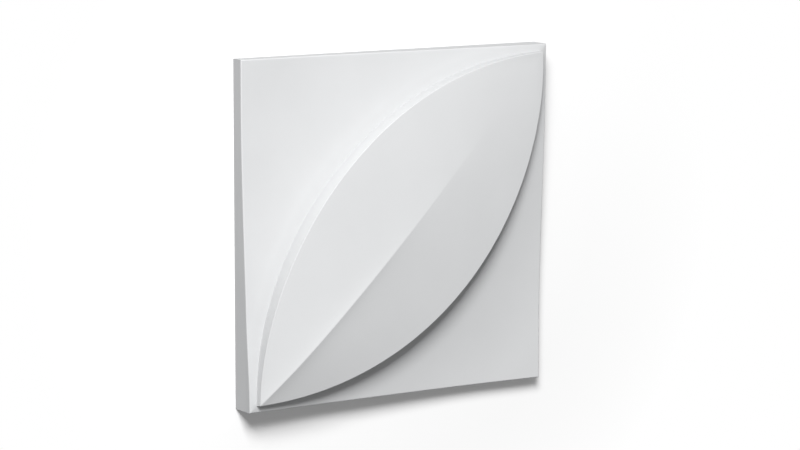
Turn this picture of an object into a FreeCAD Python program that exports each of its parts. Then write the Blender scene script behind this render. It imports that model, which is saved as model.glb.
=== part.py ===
"""Moulded relief wall tile: a square with one raised leaf along its diagonal.

Four such tiles, each turned a quarter, make a flower where their stem corners meet.

Frame: millimetres, +Z up. The tile lies on its flat back, which is centred on the origin. The leaf's
stem points at the corner (-X, -Y) and its tip at (+X, +Y). The other two corners are the low ones.
"""
import os
from math import sqrt

import FreeCAD
import Part
import Sketcher

NODE = "leaf_tile"

# Driving dimensions, in millimetres, and the draft in degrees.
SIZES = {
    "tile_side": 333.0,
    "ground_thickness": 15.0,
    "leaf_inset": 6.7,
    "wall_foot": 26.0,
    "wall_draft": 4.0,
    "cove_width": 110.0,
    "blank_height": 56.0,
    "cutter_margin": 16.0,
    "cutter_overlap": 4.0,
    "rim_round": 0.8,
    "front_round": 1.2,
}

# Sections across the leaf, from the stem's corner of the tile to the tip's: share of the diagonal, height
# of the ridge, mean fall of each half per millimetre of its width, radius of each half's bend. Each half
# is a crown, apart from the sections where the ridge is pinched: there it is a hollow.
LEAF_SECTIONS = {
    "stem_corner": {"share": 0.00, "ridge_height": 36.0, "fall": 0.040, "bend_radius": 500.0},
    "stem": {"share": 0.12, "ridge_height": 45.0, "fall": 0.200, "bend_radius": 700.0},
    "quarter": {"share": 0.25, "ridge_height": 50.8, "fall": 0.142, "bend_radius": 1200.0},
    "middle": {"share": 0.50, "ridge_height": 51.0, "fall": 0.098, "bend_radius": 5000.0},
    "shoulder": {"share": 0.70, "ridge_height": 44.3, "fall": 0.070, "bend_radius": 1000.0},
    "upper": {"share": 0.85, "ridge_height": 38.2, "fall": 0.050, "bend_radius": 620.0},
    "tip": {"share": 0.93, "ridge_height": 34.1, "fall": 0.030, "bend_radius": 600.0},
    "tip_corner": {"share": 1.00, "ridge_height": 29.4, "fall": 0.006, "bend_radius": 540.0},
}
PINCHED_SECTIONS = ("stem", "quarter")

# Angles in degrees: the turn of a sketch across the diagonal, the turn of one at each low corner that
# faces the opposite corner, and the sweep about a low corner. Each low corner also has the sign of its X.
SECTION_ANGLE = -45.0
LOW_CORNERS = {"right": {"sign": 1, "angle": 135.0}, "left": {"sign": -1, "angle": -45.0}}
SWEEP_ANGLE = 110.0

# How a sketch counts the two ends of an edge, and its own origin point.
EDGE_ENDS = (1, 2)
ORIGIN_POINT = (-1, 1)

# Sizes that follow from the driving ones, as expressions.
HALF_SIDE = "Sizes.tile_side / 2"
LEAF_RADIUS = "(Sizes.tile_side - Sizes.leaf_inset)"
COVE_RISE = "(Sizes.wall_foot - Sizes.ground_thickness)"
CUTTER_TOP = "(Sizes.blank_height + Sizes.cutter_overlap)"


def add_sheet(doc):
    """The spreadsheet that holds every driving dimension under its alias."""
    sheet = doc.addObject("Spreadsheet::Sheet", "Sizes")
    values = dict(SIZES)
    for place, section in LEAF_SECTIONS.items():
        for name, value in section.items():
            values[f"{place}_{name}"] = value
    for row, (alias, value) in enumerate(values.items(), start=1):
        sheet.set(f"A{row}", alias)
        sheet.set(f"B{row}", str(value))
        sheet.setAlias(f"B{row}", alias)
    doc.recompute()


def add_sketch(body, name, role, turn=0.0, base_x=None, base_z=None):
    """A sketch on one of the body's base planes, turned about its own upright axis and then moved."""
    sketch = body.newObject("Sketcher::SketchObject", name)
    plane = next(feature for feature in body.Origin.OriginFeatures if feature.Role == role)
    sketch.AttachmentSupport = (plane, [""])
    sketch.MapMode = "FlatFace"
    rotation = FreeCAD.Rotation(FreeCAD.Vector(0, 1, 0), turn)
    sketch.AttachmentOffset = FreeCAD.Placement(FreeCAD.Vector(), rotation)
    if base_x:
        sketch.setExpression("AttachmentOffset.Base.x", base_x)
        sketch.setExpression("AttachmentOffset.Base.z", base_z)
    return sketch


def add_arc(sketch, start, end, radius, bend):
    """An arc, a crown or a hollow, whose ends lie left to right. Arcs are kept anticlockwise, so a
    crown runs backwards. Returns its index and the numbers of its first and last ends."""
    chord = end - start
    to_centre = FreeCAD.Vector(chord.y, -chord.x, 0).normalize()
    if bend == "hollow":
        to_centre = -to_centre
    centre = (start + end) * 0.5 + to_centre * sqrt(radius ** 2 - (chord.Length / 2) ** 2)
    circle = Part.Circle(centre, FreeCAD.Vector(0, 0, 1), radius)
    angles = sorted([circle.parameter(start), circle.parameter(end)])
    index = sketch.addGeometry(Part.ArcOfCircle(circle, *angles))
    first, last = EDGE_ENDS if bend == "hollow" else reversed(EDGE_ENDS)
    return index, first, last


def add_size(sketch, name, expression, kind, *place):
    """A named constraint whose value follows an expression."""
    index = sketch.addConstraint(Sketcher.Constraint(kind, *place, sketch.evalExpression(expression)))
    sketch.renameConstraint(index, name)
    sketch.setExpression(f"Constraints.{name}", expression)


def add_profile(sketch, corners, arcs):
    """A closed profile through named corners. An edge that leaves a corner named in arcs is an arc."""
    points = []
    for name, across, up in corners:
        points.append(FreeCAD.Vector(sketch.evalExpression(across), sketch.evalExpression(up), 0))
    edges = []
    for (name, across, up), start, end in zip(corners, points, points[1:] + points[:1]):
        if name in arcs:
            radius, bend = arcs[name]
            edges.append(add_arc(sketch, start, end, sketch.evalExpression(radius), bend))
        else:
            edges.append((sketch.addGeometry(Part.LineSegment(start, end)), *EDGE_ENDS))
    for before, after in zip(edges[-1:] + edges[:-1], edges):
        sketch.addConstraint(Sketcher.Constraint("Coincident", before[0], before[2], after[0], after[1]))
    for (name, across, up), (index, first, last) in zip(corners, edges):
        add_size(sketch, f"{name}_across", across, "DistanceX", *ORIGIN_POINT, index, first)
        add_size(sketch, f"{name}_up", up, "DistanceY", *ORIGIN_POINT, index, first)
        if name in arcs:
            add_size(sketch, f"{name}_radius", arcs[name][0], "Radius", index)


def add_blank(body):
    """The square block that the relief is cut from."""
    sketch = add_sketch(body, "BlankOutline", "XY_Plane")
    near, far = f"-1 * {HALF_SIDE}", HALF_SIDE
    add_profile(sketch, [("sw", near, near), ("se", far, near), ("ne", far, far), ("nw", near, far)], {})
    pad = body.newObject("PartDesign::Pad", "Blank")
    pad.Profile = sketch
    pad.setExpression("Length", "Sizes.blank_height")


def add_cove(body, name):
    """Turn the ground about a low corner: the leaf's wall, the hollow at its foot, the flat beyond."""
    corner = LOW_CORNERS[name]
    place = f"{corner['sign']} * {HALF_SIDE}"
    sketch = add_sketch(body, f"CoveProfile_{name}", "XZ_Plane", corner["angle"], place, place)
    wall_lean = f"({CUTTER_TOP} - Sizes.wall_foot) * tan(Sizes.wall_draft)"
    far_end = "Sizes.tile_side * sqrt(2) + Sizes.cutter_overlap"
    corners = [
        ("wall_foot", LEAF_RADIUS, "Sizes.wall_foot"),
        ("flat_start", f"{LEAF_RADIUS} + Sizes.cove_width", "Sizes.ground_thickness"),
        ("flat_end", far_end, "Sizes.ground_thickness"),
        ("far_top", far_end, CUTTER_TOP),
        ("wall_top", f"{LEAF_RADIUS} - {wall_lean}", CUTTER_TOP),
    ]
    hollow_radius = f"(Sizes.cove_width ^ 2 + {COVE_RISE} ^ 2) / (2 * {COVE_RISE})"
    add_profile(sketch, corners, {"wall_foot": (hollow_radius, "hollow")})
    groove = body.newObject("PartDesign::Groove", f"Cove_{name}")
    groove.Profile = sketch
    groove.ReferenceAxis = (sketch, ["V_Axis"])
    groove.Angle = SWEEP_ANGLE
    groove.Midplane = True


def add_leaf_section(body, place):
    """A section across the leaf: all that lies above its two bent halves, which meet at the ridge."""
    along = f"(Sizes.{place}_share - 0.5) * Sizes.tile_side"
    sketch = add_sketch(body, f"Section_{place}", "XZ_Plane", SECTION_ANGLE, along, f"-1 * {along}")
    half_leaf = f"sqrt({LEAF_RADIUS} ^ 2 - 2 * ({along}) ^ 2) - Sizes.tile_side / sqrt(2)"
    reach = f"({half_leaf} + Sizes.cutter_margin)"
    ridge = f"Sizes.{place}_ridge_height"
    edge = f"({ridge} - Sizes.{place}_fall * {reach})"
    corners = [
        ("left_edge", f"-1 * {reach}", edge),
        ("ridge", "0", ridge),
        ("right_edge", reach, edge),
        ("right_top", reach, CUTTER_TOP),
        ("left_top", f"-1 * {reach}", CUTTER_TOP),
    ]
    half = (f"Sizes.{place}_bend_radius", "hollow" if place in PINCHED_SECTIONS else "crown")
    add_profile(sketch, corners, {"left_edge": half, "ridge": half})
    return sketch


def add_leaf_top(body):
    """Cut the leaf's top through its sections: a crisp ridge at the stem that fades towards the tip."""
    sections = [add_leaf_section(body, place) for place in LEAF_SECTIONS]
    loft = body.newObject("PartDesign::SubtractiveLoft", "LeafTop")
    loft.Profile = sections[0]
    loft.Sections = [(section, [""]) for section in sections[1:]]
    loft.Ruled = False


def touches(edge, shape, surface):
    """Whether an edge bounds a face of the given kind of surface."""
    return any(face.Surface.TypeId == surface for face in shape.ancestorsOfType(edge, Part.Face))


def is_rim(edge, shape):
    """An edge of the leaf's rim, between its top and its wall."""
    return touches(edge, shape, "Part::GeomBSplineSurface") and touches(edge, shape, "Part::GeomCone")


def is_front(edge, shape):
    """A front edge of the tile: it lies in one of the four sides, above the back."""
    slack = 0.001
    half_side = max(vertex.X for vertex in shape.Vertexes)
    middle = edge.CenterOfMass
    outward, sideways = sorted((abs(middle.x), abs(middle.y)), reverse=True)
    above_back = min(vertex.Z for vertex in edge.Vertexes) > slack
    return above_back and abs(outward - half_side) < slack and sideways < half_side - slack


def add_round(body, name, rule, size):
    """Round every edge of the body so far that the rule picks."""
    base = body.Tip
    numbered = enumerate(base.Shape.Edges, start=1)
    picked = [f"Edge{index}" for index, edge in numbered if rule(edge, base.Shape)]
    fillet = body.newObject("PartDesign::Fillet", name)
    fillet.Base = (base, picked)
    fillet.setExpression("Radius", f"Sizes.{size}")


def check(doc, body):
    """Stop on any object that failed and on a shape that is no sound solid."""
    for item in doc.Objects:
        if "Invalid" in item.State or "Error" in item.State:
            raise RuntimeError(f"{item.Name}: {item.State}")
    shape = body.Shape
    if shape.isNull() or not shape.isValid() or len(shape.Solids) != 1:
        raise RuntimeError(f"{body.Label} is not one valid solid")


def main():
    doc = FreeCAD.newDocument("ReliefTile")
    add_sheet(doc)
    body = doc.addObject("PartDesign::Body", "LeafTile")
    body.Label = NODE
    body.Placement = FreeCAD.Placement()
    add_blank(body)
    for name in LOW_CORNERS:
        add_cove(body, name)
    add_leaf_top(body)
    doc.recompute()
    add_round(body, "RimRound", is_rim, "rim_round")
    doc.recompute()
    add_round(body, "FrontRound", is_front, "front_round")
    doc.recompute()
    check(doc, body)
    os.makedirs("parts", exist_ok=True)
    body.Shape.exportStep(f"parts/{NODE}.step")
    depth = body.Shape.optimalBoundingBox(False).ZMax
    print(f"{NODE}: volume {body.Shape.Volume / 1e6:.3f} litres, depth {depth:.1f} mm")


main()
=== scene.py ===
"""The relief tile with its finish: a primed foam moulding that lies on its back under soft studio light.

The leaf is modelled in a frame of its own, X across the leaf and Y along it to the tip, and then turned
onto the tile's diagonal. Sizes are metres, as in the frame.
"""
from math import acos, asin, copysign, cos, exp, pi, radians, sin, sqrt, tan

import bmesh
import bpy
import numpy as np
from mathutils import Matrix, Vector


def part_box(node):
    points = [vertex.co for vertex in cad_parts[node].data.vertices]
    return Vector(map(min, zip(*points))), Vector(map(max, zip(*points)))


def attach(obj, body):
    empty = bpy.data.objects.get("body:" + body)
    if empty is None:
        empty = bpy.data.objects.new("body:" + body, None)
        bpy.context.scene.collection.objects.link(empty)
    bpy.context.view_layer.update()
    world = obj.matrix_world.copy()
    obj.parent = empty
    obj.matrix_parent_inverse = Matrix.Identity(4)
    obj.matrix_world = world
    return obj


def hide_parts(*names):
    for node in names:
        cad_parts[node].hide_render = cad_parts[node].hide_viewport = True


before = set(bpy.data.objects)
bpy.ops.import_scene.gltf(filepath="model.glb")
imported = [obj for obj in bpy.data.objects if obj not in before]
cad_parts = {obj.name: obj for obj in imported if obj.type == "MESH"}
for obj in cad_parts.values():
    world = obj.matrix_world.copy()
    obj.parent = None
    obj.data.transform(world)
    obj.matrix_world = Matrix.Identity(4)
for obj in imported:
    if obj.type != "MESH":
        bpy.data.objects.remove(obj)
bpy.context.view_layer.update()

MM = 0.001
NODE = "leaf_tile"
WELD = 0.002 * MM
RIGHT_ANGLE = pi / 2

# The leaf's own frame.
ORIGIN = Vector((0, 0, 0))
ACROSS = Vector((1, 0, 0))
ALONG = Vector((0, 1, 0))
UPRIGHT = Vector((0, 0, 1))

# Sizes of the moulding. The side comes from the frame, the rest repeats the solid's driving dimensions.
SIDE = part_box(NODE)[1].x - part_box(NODE)[0].x
HALF_SIDE = SIDE / 2
GROUND = 15.0 * MM
LEAF_INSET = 6.7 * MM
WALL_FOOT = 26.0 * MM
WALL_DRAFT = radians(4.0)
COVE_WIDTH = 110.0 * MM
SECTION_MARGIN = 16.0 * MM
RIM_ROUND = 0.8 * MM
FRONT_ROUND = 1.2 * MM

# Fine forms that the solid is without. The ridge is eased by a small radius, and it is pinched: close to
# it each half falls away more steeply. The pinch fades out between two shares of the diagonal.
RIDGE_ROUND = 0.5 * MM
PINCH_DROP = 1.2 * MM
PINCH_WIDTH = 7.3 * MM
PINCH_FADE = (0.28, 0.61)

# The solid is also without the ground's swell towards the stem's corner of the tile.
STEM_SWELL = 3.5 * MM
STEM_SWELL_REACH = 90.0 * MM

# What follows from the sizes: the low corner's distance from the ridge, and the arcs about that corner.
RIDGE_DISTANCE = SIDE / sqrt(2)
LEAF_RADIUS = SIDE - LEAF_INSET
LEAF_ANGLE = acos(RIDGE_DISTANCE / LEAF_RADIUS)
COVE_RISE = WALL_FOOT - GROUND
COVE_RADIUS = (COVE_WIDTH ** 2 + COVE_RISE ** 2) / (2 * COVE_RISE)
COVE_ANGLE = asin(COVE_WIDTH / COVE_RADIUS)
LOW_CORNER = ACROSS * -RIDGE_DISTANCE
STEM_CORNER = ALONG * -RIDGE_DISTANCE

# Sections across the leaf: share of the diagonal from the stem's corner, height of the ridge in
# millimetres, mean fall of each half, radius of each half's crown in millimetres. They are the solid's,
# with two changes. The first section's ridge is 3 mm lower. From the second section to mid-leaf the halves
# fall less and are almost straight, because here the pinch makes them hollow.
LEAF_SECTIONS = [
    (0.00, 33.0, 0.040, 500.0),
    (0.12, 45.0, 0.180, 8000.0),
    (0.25, 50.8, 0.131, 8000.0),
    (0.50, 51.0, 0.095, 4000.0),
    (0.70, 44.3, 0.070, 1000.0),
    (0.85, 38.2, 0.050, 620.0),
    (0.93, 34.1, 0.030, 600.0),
    (1.00, 29.4, 0.006, 540.0),
]

# How finely the moulding is divided, and how much closer the rows lie at the ridge than at the rim.
LEAF_COLUMNS = 160
TOP_ROWS = 28
RIDGE_CROWDING = 1.8
RIM_STEPS = 5
RIM_START = radians(7.0)
COVE_STEPS = 24
END_STEPS = 3
FRONT_STEPS = 4
SHARP_ANGLE = radians(35.0)

# The colour sockets of a Mix node, by number, because other sockets of that node have the same names.
MIX_FACTOR = 0
MIX_FIRST = 6
MIX_SECOND = 7
MIX_RESULT = 2


def smooth_curve(places, values):
    """A natural cubic spline through the values, as a function of the place."""
    places = np.array(places)
    values = np.array(values)
    gaps = np.diff(places)
    bends = np.zeros(len(places))
    matrix = np.diag(2 * (gaps[:-1] + gaps[1:])) + np.diag(gaps[1:-1], 1) + np.diag(gaps[1:-1], -1)
    bends[1:-1] = np.linalg.solve(matrix, 6 * np.diff(np.diff(values) / gaps))

    def value_at(place):
        index = int(np.clip(np.searchsorted(places, place) - 1, 0, len(gaps) - 1))
        gap = gaps[index]
        left = (place - places[index]) / gap
        right = 1 - left
        bend = bends[index] * (right ** 3 - right) + bends[index + 1] * (left ** 3 - left)
        return float(values[index] * right + values[index + 1] * left + bend * gap ** 2 / 6)

    return value_at


def smooth_step(value, start, end):
    """Goes from 0 to 1 between the start and the end, without corners."""
    part = min(max((value - start) / (end - start), 0.0), 1.0)
    return part * part * (3 - 2 * part)


def half_width(along):
    """Half of the leaf's width at its foot."""
    return sqrt(LEAF_RADIUS ** 2 - along ** 2) - RIDGE_DISTANCE


def leaf_curves():
    """How the ridge, the section's edge, the crown's rise and the section's reach run along the leaf."""
    shares = []
    rows = []
    for share, ridge, fall, crown in LEAF_SECTIONS:
        reach = half_width((2 * share - 1) * RIDGE_DISTANCE) + SECTION_MARGIN
        shares.append(share)
        rows.append((ridge * MM, ridge * MM - fall * reach, reach ** 2 / (8 * crown * MM), reach))
    return [smooth_curve(shares, column) for column in zip(*rows)]


RIDGE_CURVE, EDGE_CURVE, CROWN_CURVE, REACH_CURVE = leaf_curves()


def leaf_height(across, along):
    """Height of the leaf's top. The ridge is pinched up to mid-leaf and eased by a small radius."""
    share = (1 + along / RIDGE_DISTANCE) / 2
    eased = sqrt(across ** 2 + RIDGE_ROUND ** 2) - RIDGE_ROUND
    part = eased / REACH_CURVE(share)
    ridge = RIDGE_CURVE(share)
    crowned = ridge + (EDGE_CURVE(share) - ridge) * part + 4 * CROWN_CURVE(share) * part * (1 - part)
    fade = smooth_step(share, *PINCH_FADE)
    return crowned - PINCH_DROP * (1 - fade) * (1 - exp(-eased / PINCH_WIDTH))


def ground_swell(place):
    """How far the ground is raised near the stem's corner."""
    distance = (place - STEM_CORNER).to_2d().length
    return STEM_SWELL * (1 - smooth_step(distance, 0.0, STEM_SWELL_REACH))


def ring_point(column, radius):
    """A point of a ring about the low corner. Its column runs from 0 to 1 between the two places where
    the ring meets the plane through the ridge, at the stem and at the tip."""
    angle = (2 * column - 1) * acos(RIDGE_DISTANCE / radius)
    return LOW_CORNER + ACROSS * (radius * cos(angle)) + ALONG * (radius * sin(angle))


def leaf_column(column):
    """The points of one column of the half leaf: its top, the rounded rim and the wall's foot."""
    foot = ring_point(column, LEAF_RADIUS)
    rim_height = leaf_height(foot.x, foot.y)
    wall_top = LEAF_RADIUS - (rim_height - WALL_FOOT) * tan(WALL_DRAFT)
    edge = ring_point(column, wall_top - RIM_ROUND * (1 - sin(RIM_START)))
    points = []
    for row in range(TOP_ROWS):
        across = edge.x * (row / TOP_ROWS) ** RIDGE_CROWDING
        points.append(Vector((across, edge.y, leaf_height(across, edge.y))))
    edge_height = leaf_height(edge.x, edge.y)
    for step in range(RIM_STEPS + 1):
        turn = RIM_START + (RIGHT_ANGLE - WALL_DRAFT - RIM_START) * step / RIM_STEPS
        point = ring_point(column, wall_top - RIM_ROUND * (1 - sin(turn)))
        point.z = edge_height - RIM_ROUND * (cos(RIM_START) - cos(turn))
        points.append(point)
    points.append(foot + UPRIGHT * (WALL_FOOT + ground_swell(foot)))
    return points


def add_leaf_half(bm):
    """Half of the leaf, from the ridge down to the foot of its wall: a grid laid over its form."""
    half_grid = 0.5
    columns = [leaf_column(index / LEAF_COLUMNS) for index in range(LEAF_COLUMNS + 1)]
    rows = len(columns[0]) - 1
    grid = bmesh.ops.create_grid(bm, x_segments=LEAF_COLUMNS, y_segments=rows, size=half_grid)
    for vert in grid["verts"]:
        column = round((vert.co.x + half_grid) * LEAF_COLUMNS)
        row = round((vert.co.y + half_grid) * rows)
        vert.co = columns[column][row]


def everything(bm):
    """All vertices, edges and faces of a mesh."""
    return bm.verts[:] + bm.edges[:] + bm.faces[:]


def trim(bm, point, outward):
    """Cut away all that lies outside a plane."""
    plane = {"plane_co": point, "plane_no": outward}
    bmesh.ops.bisect_plane(bm, geom=everything(bm), dist=WELD, clear_outer=True, **plane)


def turn_mesh(bm, centre, angle):
    """Turn the whole mesh about an upright line through the centre."""
    bmesh.ops.rotate(bm, verts=bm.verts, cent=centre, matrix=Matrix.Rotation(angle, 3, "Z"))


def add_ground_half(bm):
    """The ground beside half of the leaf: a hollow and a flat, turned about the low corner and trimmed,
    with the swell at the stem."""
    flat_start = LOW_CORNER + Vector((LEAF_RADIUS + COVE_WIDTH, 0, GROUND))
    first = bm.verts.new(flat_start)
    hollow = {"cent": flat_start + UPRIGHT * COVE_RADIUS, "axis": ALONG}
    bmesh.ops.spin(bm, geom=[first], angle=COVE_ANGLE, steps=COVE_STEPS, **hollow)
    flat = bmesh.ops.extrude_vert_indiv(bm, verts=[first])
    flat_length = 2 * RIDGE_DISTANCE - LEAF_RADIUS - COVE_WIDTH
    bmesh.ops.translate(bm, verts=flat["verts"], vec=ACROSS * flat_length)
    turn_mesh(bm, LOW_CORNER, -LEAF_ANGLE)
    profile = bm.verts[:] + bm.edges[:]
    about = {"cent": LOW_CORNER, "axis": UPRIGHT}
    swept = bmesh.ops.spin(bm, geom=profile, angle=2 * LEAF_ANGLE, steps=LEAF_COLUMNS, **about)
    end_angle = RIGHT_ANGLE / 2 - LEAF_ANGLE
    bmesh.ops.spin(bm, geom=swept["geom_last"], angle=end_angle, steps=END_STEPS, **about)
    bmesh.ops.spin(bm, geom=profile, angle=-end_angle, steps=END_STEPS, **about)
    trim(bm, ORIGIN, -ACROSS)
    for side in (-ALONG, ALONG):
        outward = (ACROSS + side).normalized()
        trim(bm, outward * (HALF_SIDE - FRONT_ROUND), outward)
    for vert in bm.verts:
        vert.co.z += ground_swell(vert.co)


def extrude_outline(bm):
    """Extrude the open outline of the mesh and return the new vertices."""
    outline = [edge for edge in bm.edges if edge.is_boundary]
    made = bmesh.ops.extrude_edge_only(bm, edges=outline)
    return [item for item in made["geom"] if isinstance(item, bmesh.types.BMVert)]


def roll_front_edges(bm):
    """Round the tile's front edges over, outwards and down to its sides."""
    reach = HALF_SIDE - FRONT_ROUND
    drop = 0.0
    for step in range(1, FRONT_STEPS + 1):
        turn = RIGHT_ANGLE * step / FRONT_STEPS
        new_reach = HALF_SIDE - FRONT_ROUND * (1 - sin(turn))
        new_drop = FRONT_ROUND * (1 - cos(turn))
        for vert in extrude_outline(bm):
            if abs(vert.co.x) > reach - WELD:
                vert.co.x = copysign(new_reach, vert.co.x)
            if abs(vert.co.y) > reach - WELD:
                vert.co.y = copysign(new_reach, vert.co.y)
            vert.co.z -= new_drop - drop
        reach = new_reach
        drop = new_drop


def close_back(bm):
    """The tile's sides, down to the flat back, and the back itself."""
    for vert in extrude_outline(bm):
        vert.co.z = 0.0
    bmesh.ops.edgeloop_fill(bm, edges=[edge for edge in bm.edges if edge.is_boundary])


def finish_mesh(bm):
    """Weld the seams, point the faces outwards, and shade them smooth up to the sharp edges."""
    bmesh.ops.remove_doubles(bm, verts=bm.verts, dist=WELD)
    bmesh.ops.dissolve_degenerate(bm, edges=bm.edges, dist=WELD)
    bmesh.ops.recalc_face_normals(bm, faces=bm.faces)
    for face in bm.faces:
        face.smooth = True
    for edge in bm.edges:
        edge.smooth = edge.calc_face_angle(pi) < SHARP_ANGLE


def add_object(name, data):
    """Put a new object with this data into the scene."""
    made = bpy.data.objects.new(name, data)
    bpy.context.scene.collection.objects.link(made)
    return made


def add_mesh_object(name, bm):
    """Put a new object into the scene, with the mesh that has been worked on as its data."""
    mesh = bpy.data.meshes.new(name)
    bm.to_mesh(mesh)
    bm.free()
    return add_object(name, mesh)


def make_tile():
    """The moulding in one piece: half of it is made beside the ridge, mirrored, turned and closed."""
    bm = bmesh.new()
    add_ground_half(bm)
    add_leaf_half(bm)
    bmesh.ops.remove_doubles(bm, verts=bm.verts, dist=WELD)
    bmesh.ops.mirror(bm, geom=everything(bm), axis="X", merge_dist=WELD)
    turn_mesh(bm, ORIGIN, -RIGHT_ANGLE / 2)
    roll_front_edges(bm)
    close_back(bm)
    finish_mesh(bm)
    tile = add_mesh_object("relief_tile", bm)
    tile.modifiers.new("even shading", "WEIGHTED_NORMAL").keep_sharp = True
    return tile


def linear(code):
    """An sRGB hex colour as linear values, by the standard curve."""
    channels = [int(code[start:start + 2], 16) / 255 for start in (1, 3, 5)]
    return [c / 12.92 if c <= 0.04045 else ((c + 0.055) / 1.055) ** 2.4 for c in channels] + [1.0]


def new_tree(owner):
    """An emptied node tree of a material or a world."""
    owner.use_nodes = True
    owner.node_tree.nodes.clear()
    return owner.node_tree


def add_node(tree, kind, settings, inputs):
    """Add a node with its settings, and give each input a value or a link from another node's socket."""
    node = tree.nodes.new(kind)
    for name, value in settings.items():
        setattr(node, name, value)
    for name, value in inputs.items():
        if isinstance(value, bpy.types.NodeSocket):
            tree.links.new(value, node.inputs[name])
        else:
            node.inputs[name].default_value = value
    return node


def object_place(tree):
    """A point's place in its object's own coordinates."""
    return add_node(tree, "ShaderNodeTexCoord", {}, {}).outputs["Object"]


def larger(tree, first, second):
    """The larger of two values."""
    inputs = {0: first, 1: second}
    return add_node(tree, "ShaderNodeMath", {"operation": "MAXIMUM"}, inputs).outputs["Value"]


def distance_to(tree, place, point):
    """How far a place is from a fixed point."""
    inputs = {0: place, 1: point}
    return add_node(tree, "ShaderNodeVectorMath", {"operation": "DISTANCE"}, inputs).outputs["Value"]


def noise(tree, place, size, detail):
    """A cloudy noise from 0 to 1, with clouds of about the given size."""
    inputs = {"Vector": place, "Scale": 1 / size, "Detail": detail}
    return add_node(tree, "ShaderNodeTexNoise", {}, inputs).outputs["Fac"]


def mix_colours(tree, factor, first, second):
    """Goes from the first colour to the second as the factor goes from 0 to 1."""
    inputs = {MIX_FACTOR: factor, MIX_FIRST: first, MIX_SECOND: second}
    return add_node(tree, "ShaderNodeMix", {"data_type": "RGBA"}, inputs).outputs[MIX_RESULT]


def mix_shaders(tree, factor, first, second):
    """Goes from the first shader to the second as the factor goes from 0 to 1."""
    inputs = {0: factor, 1: first, 2: second}
    return add_node(tree, "ShaderNodeMixShader", {}, inputs).outputs["Shader"]


def foot_distance(tree, place):
    """How far a point of the tile is from the inside corner at the foot of the leaf's wall, with the swell
    at the stem left aside."""
    in_plan = (1, 1, 0)
    flat = add_node(tree, "ShaderNodeVectorMath", {"operation": "MULTIPLY"}, {0: place, 1: in_plan})
    rings = []
    for sign in (-1, 1):
        low_corner = (sign * HALF_SIDE, -sign * HALF_SIDE, 0)
        rings.append(distance_to(tree, flat.outputs["Vector"], low_corner))
    radius = larger(tree, rings[0], rings[1])
    height = add_node(tree, "ShaderNodeSeparateXYZ", {}, {"Vector": place}).outputs["Z"]
    section = add_node(tree, "ShaderNodeCombineXYZ", {}, {"X": radius, "Y": height})
    return distance_to(tree, section.outputs["Vector"], (LEAF_RADIUS, WALL_FOOT, 0))


def primed_foam():
    """Rigid polyurethane foam out of a smooth mould, under a sprayed coat of matt white primer.

    The eye sees an even, chalky white with almost no gloss, and the coat's fine dry grain only close up.
    In the inside corner at the foot of the leaf's wall the colour is painted a little greyer: painted
    shade, standing in for the shade that gathers in that corner.
    """
    coat = "#D1D2D3"
    thin_coat = "#CBCCCD"
    # Painted shade: the coat goes greyer within this reach of the inside corner at the wall's foot.
    corner_shade_colour = "#C6C7C8"
    corner_shade_reach = 14.0 * MM
    cloud_size = 60.0 * MM
    cloud_detail = 3.0
    sheen_size = 22.0 * MM
    sheen_detail = 2.0
    smoothest = 0.60
    roughest = 0.76
    refraction = 1.46
    grain_size = 1.4 * MM
    grain_detail = 4.0
    grain_depth = 0.02 * MM
    material = bpy.data.materials.new("primed_polyurethane_foam")
    tree = new_tree(material)
    place = object_place(tree)
    cloud = noise(tree, place, cloud_size, cloud_detail)
    open_coat = mix_colours(tree, cloud, linear(thin_coat), linear(coat))
    # Painted shade: the colour darkens towards the inside corner at the foot of the leaf's wall.
    shade_fade = add_node(tree, "ShaderNodeMapRange", {"interpolation_type": "SMOOTHSTEP"}, {
        "Value": foot_distance(tree, place), "From Max": corner_shade_reach})
    colour = mix_colours(tree, shade_fade.outputs["Result"], linear(corner_shade_colour), open_coat)
    sheen = noise(tree, place, sheen_size, sheen_detail)
    dullness = add_node(tree, "ShaderNodeMapRange", {}, {
        "Value": sheen, "To Min": smoothest, "To Max": roughest})
    grain = noise(tree, place, grain_size, grain_detail)
    bump = add_node(tree, "ShaderNodeBump", {}, {"Height": grain, "Distance": grain_depth})
    shader = add_node(tree, "ShaderNodeBsdfPrincipled", {}, {
        "Base Color": colour, "Roughness": dullness.outputs["Result"], "IOR": refraction,
        "Normal": bump.outputs["Normal"]})
    add_node(tree, "ShaderNodeOutputMaterial", {}, {"Surface": shader.outputs["BSDF"]})
    return material


def seen_directly(tree):
    """1 for a ray from the camera, or one that a reflection or a clear material sends on. 0 for light."""
    path = add_node(tree, "ShaderNodeLightPath", {}, {}).outputs
    seen = path["Is Camera Ray"]
    for ray in ("Is Glossy Ray", "Is Transmission Ray"):
        seen = larger(tree, seen, path[ray])
    return seen


def white_floor():
    """Plain pale studio floor. The eye sees white with the tile's soft shadow in it, which away from the
    tile goes over into plain white without shade. To light it is grey, so that it throws little back."""
    seen_white = "#EEEEEE"
    bounce_grey = "#606060"
    lift = 0.09
    plain_white = 1.0
    shade_reach = 0.24
    plain_from = 0.38
    material = bpy.data.materials.new("white_floor")
    tree = new_tree(material)
    paint = add_node(tree, "ShaderNodeBsdfDiffuse", {}, {"Color": linear(seen_white)}).outputs["BSDF"]
    glow = add_node(tree, "ShaderNodeEmission", {}, {"Strength": lift}).outputs["Emission"]
    shaded = add_node(tree, "ShaderNodeAddShader", {}, {0: paint, 1: glow}).outputs["Shader"]
    plain = add_node(tree, "ShaderNodeEmission", {}, {"Strength": plain_white}).outputs["Emission"]
    away = distance_to(tree, object_place(tree), ORIGIN)
    plainness = add_node(tree, "ShaderNodeMapRange", {}, {
        "Value": away, "From Min": shade_reach, "From Max": plain_from})
    seen = mix_shaders(tree, plainness.outputs["Result"], shaded, plain)
    dull = add_node(tree, "ShaderNodeBsdfDiffuse", {}, {"Color": linear(bounce_grey)}).outputs["BSDF"]
    both = mix_shaders(tree, seen_directly(tree), dull, seen)
    add_node(tree, "ShaderNodeOutputMaterial", {}, {"Surface": both})
    return material


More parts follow.
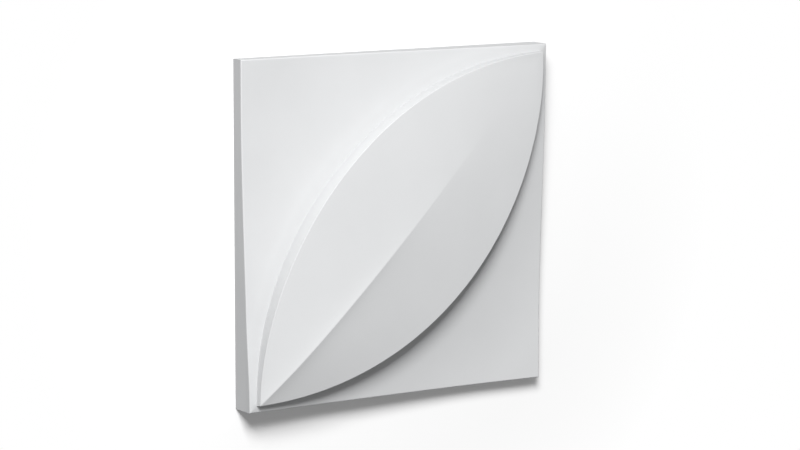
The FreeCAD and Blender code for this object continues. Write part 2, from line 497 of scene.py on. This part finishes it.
def make_floor():
    """A wide floor, a hair below the tile's back."""
    half_size = 10.0
    gap = 0.1 * MM
    bm = bmesh.new()
    bmesh.ops.create_grid(bm, x_segments=1, y_segments=1, size=half_size)
    bmesh.ops.translate(bm, verts=bm.verts, vec=UPRIGHT * -gap)
    floor = add_mesh_object("floor", bm)
    floor.data.materials.append(white_floor())


def make_world():
    """Soft light from all round. Seen directly or in a reflection, the surroundings are white."""
    light_colour = "#FFFFFF"
    ambient = 0.2
    plain_white = 1.0
    world = bpy.data.worlds.new("studio")
    tree = new_tree(world)
    strength = add_node(tree, "ShaderNodeMapRange", {}, {
        "Value": seen_directly(tree), "To Min": ambient, "To Max": plain_white})
    light = add_node(tree, "ShaderNodeBackground", {}, {
        "Color": linear(light_colour), "Strength": strength.outputs["Result"]})
    add_node(tree, "ShaderNodeOutputWorld", {}, {"Surface": light.outputs["Background"]})
    bpy.context.scene.world = world


def make_lamp():
    """A broad soft lamp beyond the tile's upper left."""
    plan = Vector((-0.56, 0.83, 0)).normalized()
    elevation = radians(43.0)
    distance = 5.2
    size = 1.9
    watts = 361.0
    toward = plan * cos(elevation) + UPRIGHT * sin(elevation)
    light = bpy.data.lights.new("key", "AREA")
    light.size = size
    light.energy = watts
    lamp = add_object("key", light)
    turn = toward.to_track_quat("Z", "Y").to_matrix().to_4x4()
    lamp.matrix_world = Matrix.Translation(toward * distance) @ turn


def make_camera():
    """Looks down on the tile from its left, with the far side up in the picture."""
    toward = Vector((-5.09, 1.46, 8.54)).normalized()
    far = Vector((0, 1, 0))
    distance = 10.05 * SIDE
    aim_height = 25.0 * MM
    lens = 157.0
    data = bpy.data.cameras.new("camera")
    data.lens = lens
    camera = add_object("camera", data)
    right = far.cross(toward).normalized()
    turn = Matrix((right, toward.cross(right), toward)).transposed().to_4x4()
    camera.matrix_world = Matrix.Translation(UPRIGHT * aim_height + toward * distance) @ turn
    bpy.context.scene.camera = camera


tile = make_tile()
tile.data.materials.append(primed_foam())
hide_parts(NODE)
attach(tile, "root")
make_floor()
make_world()
make_lamp()
make_camera()
bpy.context.scene.view_settings.view_transform = "Standard"
